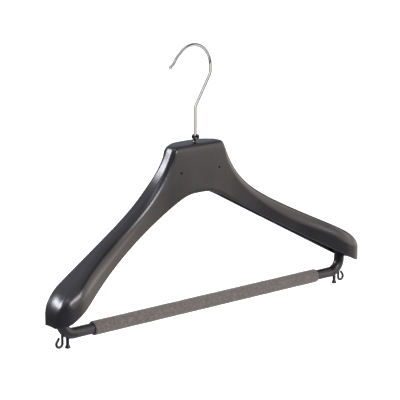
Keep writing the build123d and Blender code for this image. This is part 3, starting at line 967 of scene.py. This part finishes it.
class HANGER_OT_stage(Operator):
    """Add the floor, the studio light and the camera at the photograph's angle"""

    bl_idname = "hanger.stage"
    bl_label = "Add stage"

    def execute(self, context):
        stage = context.scene.hanger_stage
        self.floor(stage)
        self.world(context.scene, stage)
        # The hook mirrors two cards and nothing else; the other pieces get every other lamp
        mirrored = bpy.data.collections.new("hook")
        spared = bpy.data.collections.new("all but the hook")
        for name in ("hook_wire", "hook_foot"):
            mirrored.objects.link(bpy.data.objects[name])
            spared.objects.link(bpy.data.objects[name])
        for item in spared.collection_objects:
            item.light_linking.link_state = "EXCLUDE"
        cool, warm, white = "#f6f6ff", "#fff4e8", "#ffffff"
        # Azimuth and elevation in degrees, distance and size in metres
        for name, azimuth, elevation, distance, size, power, code, receivers in (
            ("key", 2.5, 28.0, 1.15, (0.60, 0.36), stage.key, "#fbfaff", spared),
            ("rim", -136.0, 26.0, 8.0, (4.1, 1.60), stage.rim, cool, spared),
            ("top", -66.0, 58.0, 2.0, (2.0, 0.40), stage.top, cool, spared),
            ("side", 67.0, 2.0, 2.0, (2.0, 1.0), stage.side, warm, spared),
            ("warm", 51.0, 10.0, 3.6, (7.0, 5.0), stage.warm, warm, spared),
            ("card", -65.0, 14.0, 2.2, (3.2, 2.6), stage.card, white, mirrored),
            ("low card", 56.0, -17.0, 2.2, (1.5, 1.9), stage.low_card, white, mirrored),
        ):
            light = self.lamp(name, azimuth, elevation, distance, size, power, code)
            light.light_linking.receiver_collection = receivers
        data = bpy.data.cameras.new("camera")
        data.lens = stage.lens
        data.sensor_width = 36.0
        camera = bpy.data.objects.new("camera", data)
        bpy.context.collection.objects.link(camera)
        back = direction(stage.azimuth, stage.elevation)
        right = Vector((cos(stage.azimuth), sin(stage.azimuth), 0))
        turn = Matrix((right, back.cross(right), back)).transposed().to_4x4()
        camera.matrix_world = Matrix.Translation(stage.camera) @ turn
        context.scene.camera = camera
        context.scene.view_settings.view_transform = "Standard"
        return {"FINISHED"}

    def lamp(self, name, azimuth, elevation, distance, size, power, code):
        """A soft rectangular light that faces the hanger's middle, from angles in degrees."""
        data = bpy.data.lights.new(name, "AREA")
        data.shape = "RECTANGLE"
        data.size, data.size_y = size
        data.energy = power
        data.color = linear(code)[:3]
        light = bpy.data.objects.new(name, data)
        bpy.context.collection.objects.link(light)
        away = direction(radians(azimuth), radians(elevation))
        middle = Vector((0.0, -0.02, -0.17))
        turn = away.to_track_quat("Z", "Y").to_matrix().to_4x4()
        light.matrix_world = Matrix.Translation(middle + away * distance) @ turn
        light.visible_camera = False
        return light

    def floor(self, stage):
        """Pale floor that the camera sees as white where nothing shades it.

        Gloss mirrors the studio's colours in it, and a pale grey straight below the hanger.
        """
        material, tree = new_material("pale studio floor")
        path = node(tree, "ShaderNodeLightPath").outputs
        place = node(tree, "ShaderNodeTexCoord").outputs["Object"]
        plain = node(tree, "ShaderNodeBsdfDiffuse", {"Color": linear("#e8e8e6")}).outputs[0]
        glow = node(
            tree, "ShaderNodeEmission", {"Color": linear("#ffffff"), "Strength": 0.93}
        ).outputs[0]
        both = node(tree, "ShaderNodeAddShader", {0: plain, 1: glow}).outputs[0]
        room = self.surroundings(tree, place)
        way = node(tree, "ShaderNodeVectorMath", {0: place}, operation="NORMALIZE").outputs[0]
        height = node(tree, "ShaderNodeSeparateXYZ", {"Vector": way}).outputs["Z"]
        under = node(
            tree, "ShaderNodeMapRange", {"Value": height, "From Min": -0.35, "From Max": -0.85}
        ).outputs["Result"]
        room = node(
            tree, "ShaderNodeMix", {"Factor": under, 6: room, 7: linear("#c4c6d0")},
            data_type="RGBA",
        ).outputs[2]
        bright = node(
            tree, "ShaderNodeEmission", {"Color": room, "Strength": stage.room}
        ).outputs[0]
        shiny = node(
            tree, "ShaderNodeMath", {0: path["Is Glossy Ray"], 1: path["Is Transmission Ray"]},
            operation="MAXIMUM",
        ).outputs[0]
        seen = node(
            tree, "ShaderNodeMixShader", {0: path["Is Camera Ray"], 1: plain, 2: both}
        ).outputs[0]
        mix = node(tree, "ShaderNodeMixShader", {0: shiny, 1: seen, 2: bright}).outputs[0]
        node(tree, "ShaderNodeOutputMaterial", {"Surface": mix})
        mesh = bpy.data.meshes.new("floor")
        reach = 60.0
        corners = [(-reach, -reach), (reach, -reach), (reach, reach), (-reach, reach)]
        mesh.from_pydata([(x, y, stage.floor) for x, y in corners], [], [(0, 1, 2, 3)])
        mesh.materials.append(material)
        floor = bpy.data.objects.new("floor", mesh)
        bpy.context.collection.objects.link(floor)

    def world(self, scene, stage):
        """Studio surroundings: a soft vertical gradient, and white where the camera looks."""
        world = bpy.data.worlds.new("studio")
        scene.world = world
        world.use_nodes = True
        tree = world.node_tree
        tree.nodes.clear()
        place = node(tree, "ShaderNodeTexCoord").outputs["Generated"]
        camera = node(tree, "ShaderNodeLightPath").outputs["Is Camera Ray"]
        room = self.surroundings(tree, place)
        soft = node(
            tree, "ShaderNodeBackground", {"Color": room, "Strength": stage.room}
        ).outputs[0]
        white = node(
            tree, "ShaderNodeBackground", {"Color": linear("#ffffff"), "Strength": 1.0}
        ).outputs[0]
        mix = node(tree, "ShaderNodeMixShader", {0: camera, 1: soft, 2: white}).outputs[0]
        node(tree, "ShaderNodeOutputWorld", {"Surface": mix})

    def surroundings(self, tree, place):
        """Colour of the studio in each direction: dim below, paler above, with four lobes.

        A lobe is the cosine to its middle, eased: a dark wall at the left, a pale corner behind
        the right arm, a dark ceiling over the right arm and warm light low at the right.
        """
        way = node(tree, "ShaderNodeVectorMath", {0: place}, operation="NORMALIZE").outputs[0]
        height = node(tree, "ShaderNodeSeparateXYZ", {"Vector": way}).outputs["Z"]
        share = node(
            tree, "ShaderNodeMapRange", {"Value": height, "From Min": -0.5, "From Max": 0.7}
        ).outputs["Result"]
        stops = [(0.15, "#3b3c42"), (0.50, "#5c5e67"), (0.95, "#a0a2aa")]
        colour = node(
            tree, "ShaderNodeValToRGB", {"Fac": share},
            stops=[(at, linear(code)) for at, code in stops],
        ).outputs["Color"]
        # Azimuth and elevation of the middle in degrees, cosine where it starts and is full
        for azimuth, elevation, near, full, code in (
            (-52.0, 4.0, 0.60, 0.95, "#3c3d44"), (130.0, 35.0, 0.80, 0.95, "#868892"),
            (52.0, 47.0, 0.86, 0.97, "#26272b"), (78.0, -22.0, 0.76, 0.95, "#e9dfd4"),
        ):
            middle = direction(radians(azimuth), radians(elevation))
            cosine = node(
                tree, "ShaderNodeVectorMath", {0: way, 1: middle}, operation="DOT_PRODUCT"
            ).outputs["Value"]
            eased = node(
                tree, "ShaderNodeMapRange", {"Value": cosine, "From Min": near, "From Max": full},
                interpolation_type="SMOOTHSTEP",
            ).outputs["Result"]
            colour = node(
                tree, "ShaderNodeMix", {"Factor": eased, 6: colour, 7: linear(code)},
                data_type="RGBA",
            ).outputs[2]
        return colour


OPERATORS = (
    HANGER_OT_shell, HANGER_OT_inside, HANGER_OT_hook, HANGER_OT_collar, HANGER_OT_bar,
    HANGER_OT_stage,
)
SETTINGS = {
    "hanger_shell": ShellSettings, "hanger_hook": HookSettings, "hanger_bar": BarSettings,
    "hanger_finish": FinishSettings, "hanger_stage": StageSettings,
}


class HANGER_PT_panel(Panel):
    """Buttons for the hanger's pieces, and the sizes and colours that they use."""

    bl_label = "Trouser hanger"
    bl_idname = "HANGER_PT_panel"
    bl_space_type = "VIEW_3D"
    bl_region_type = "UI"
    bl_category = "Hanger"

    def draw(self, context):
        for item in OPERATORS:
            self.layout.operator(item.bl_idname)
        for name, settings in SETTINGS.items():
            box = self.layout.box()
            for field in settings.__annotations__:
                box.prop(getattr(context.scene, name), field)


CLASSES = tuple(SETTINGS.values()) + OPERATORS + (HANGER_PT_panel,)


def register():
    """Registers the classes and the settings."""
    for item in CLASSES:
        bpy.utils.register_class(item)
    for name, settings in SETTINGS.items():
        setattr(bpy.types.Scene, name, PointerProperty(type=settings))


def unregister():
    """Takes the settings and the classes away."""
    for name in SETTINGS:
        delattr(bpy.types.Scene, name)
    for item in reversed(CLASSES):
        bpy.utils.unregister_class(item)


def main():
    """Builds every piece in turn."""
    register()
    bpy.ops.hanger.shell()
    bpy.ops.hanger.inside()
    bpy.ops.hanger.hook()
    bpy.ops.hanger.collar()
    bpy.ops.hanger.bar()
    bpy.ops.hanger.stage()


if __name__ == "__main__":
    main()
